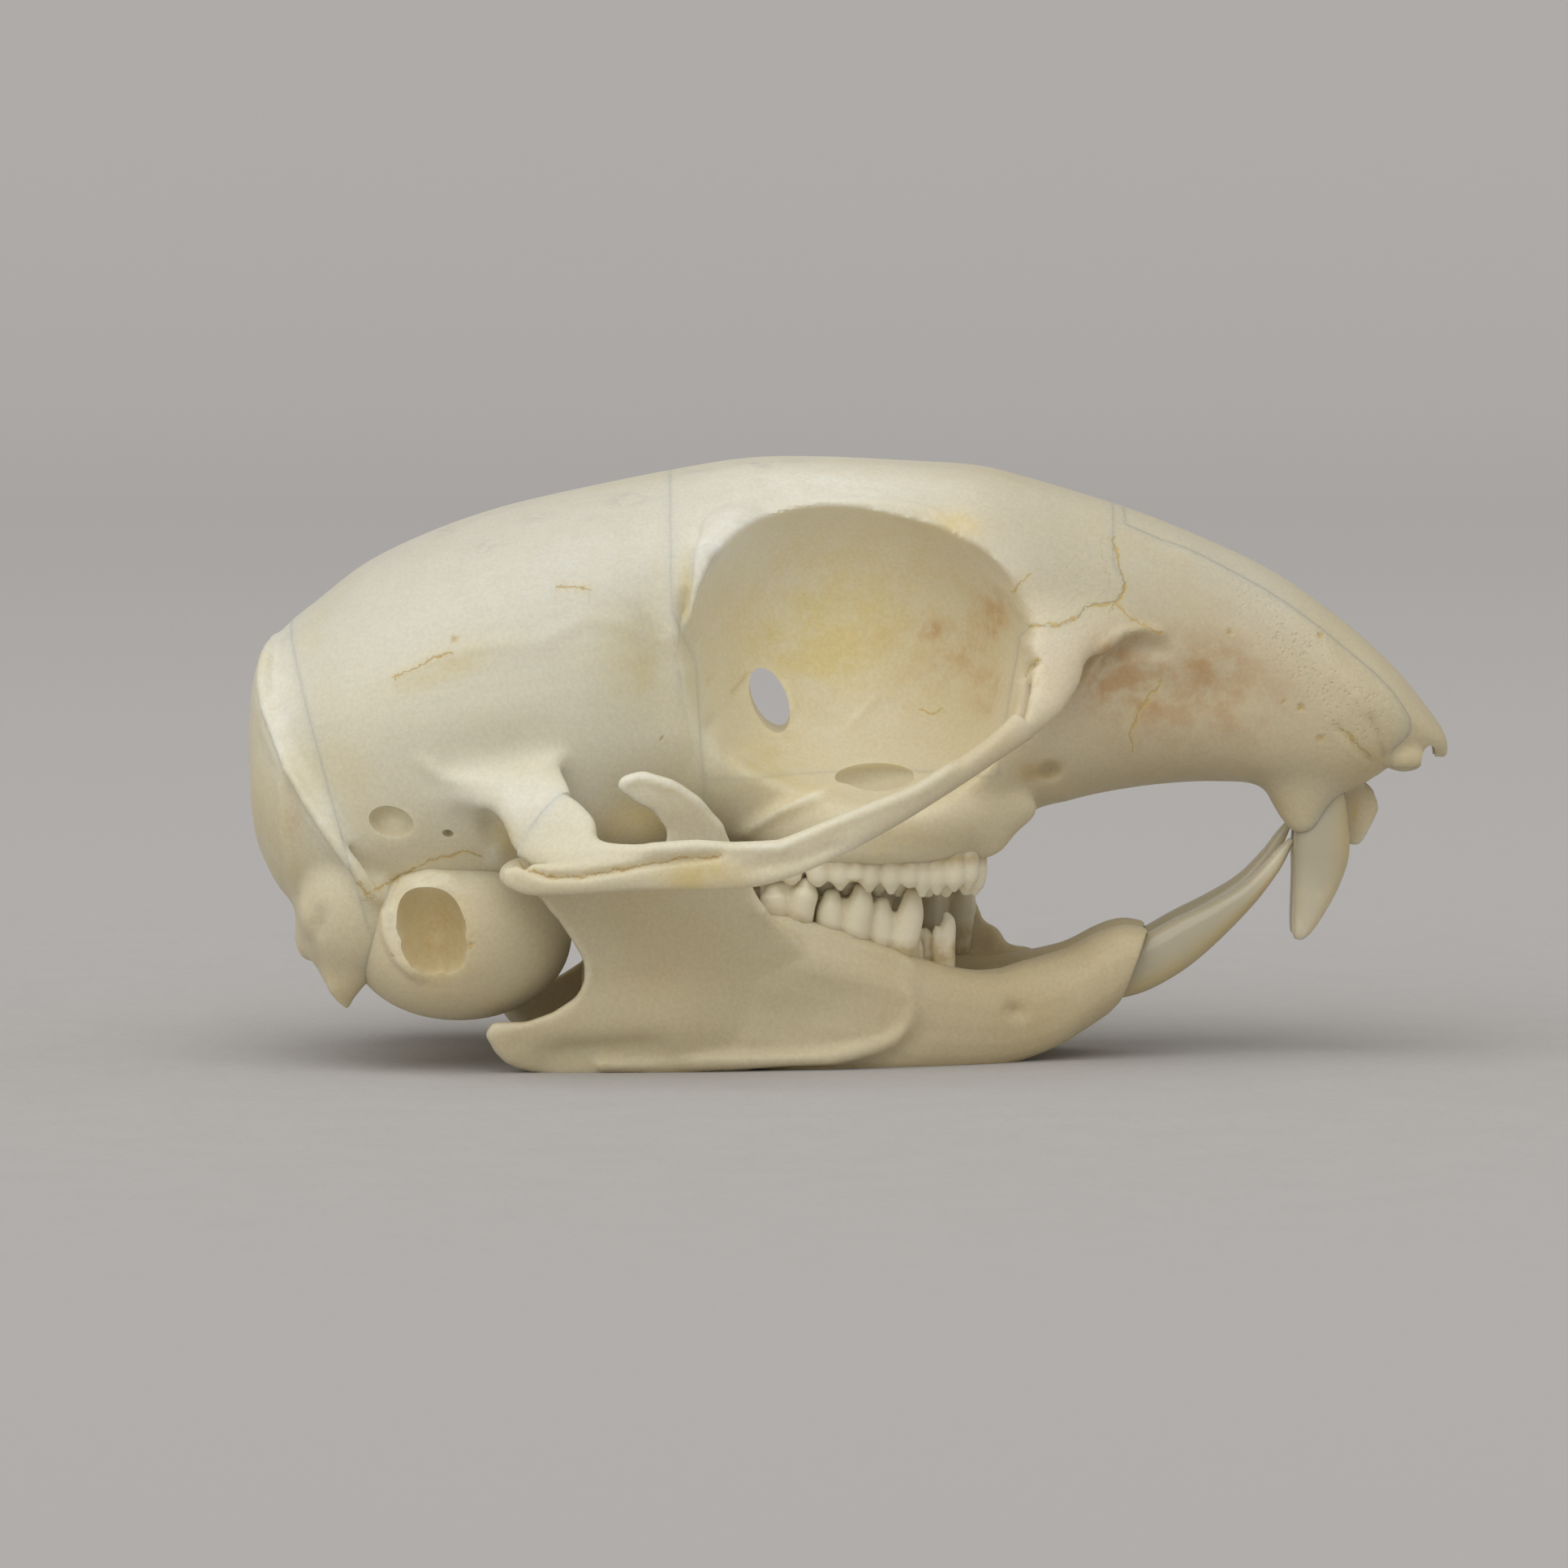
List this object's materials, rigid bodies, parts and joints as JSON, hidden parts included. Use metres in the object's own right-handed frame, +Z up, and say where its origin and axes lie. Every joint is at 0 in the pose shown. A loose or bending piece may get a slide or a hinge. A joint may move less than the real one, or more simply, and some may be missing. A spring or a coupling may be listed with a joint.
{
  "type": "ground squirrel skull",
  "caption": "Cleaned skull of a ground squirrel with its lower jaws and long front teeth, resting on its lower jaws as a life-size display model.",
  "frame": {"origin": "on the floor under the middle of the skull's bounding box", "axes": "+X towards the nose, +Y towards the animal's left, +Z up"},
  "size_m": [0.042, 0.0265, 0.0209],
  "materials": {
    "bone": "dry cream-coloured bone, slightly waxy, with yellow translucent patches",
    "tooth": "smooth ivory tooth enamel with a wet gloss"
  },
  "bodies": {
    "root": {"braincase": "bone", "occiput": "bone", "forehead": "bone", "upper_jaw": "bone", "nasal_bone_left": "bone", "nasal_bone_right": "bone", "ear_capsule_left": "bone", "ear_capsule_right": "bone", "cheek_arch_left": "bone", "cheek_arch_right": "bone", "lower_jaw_left": "bone", "lower_jaw_right": "bone", "upper_incisor_left": "tooth", "upper_incisor_right": "tooth", "lower_incisor_left": "tooth", "lower_incisor_right": "tooth"}
  },
  "joints": []
}
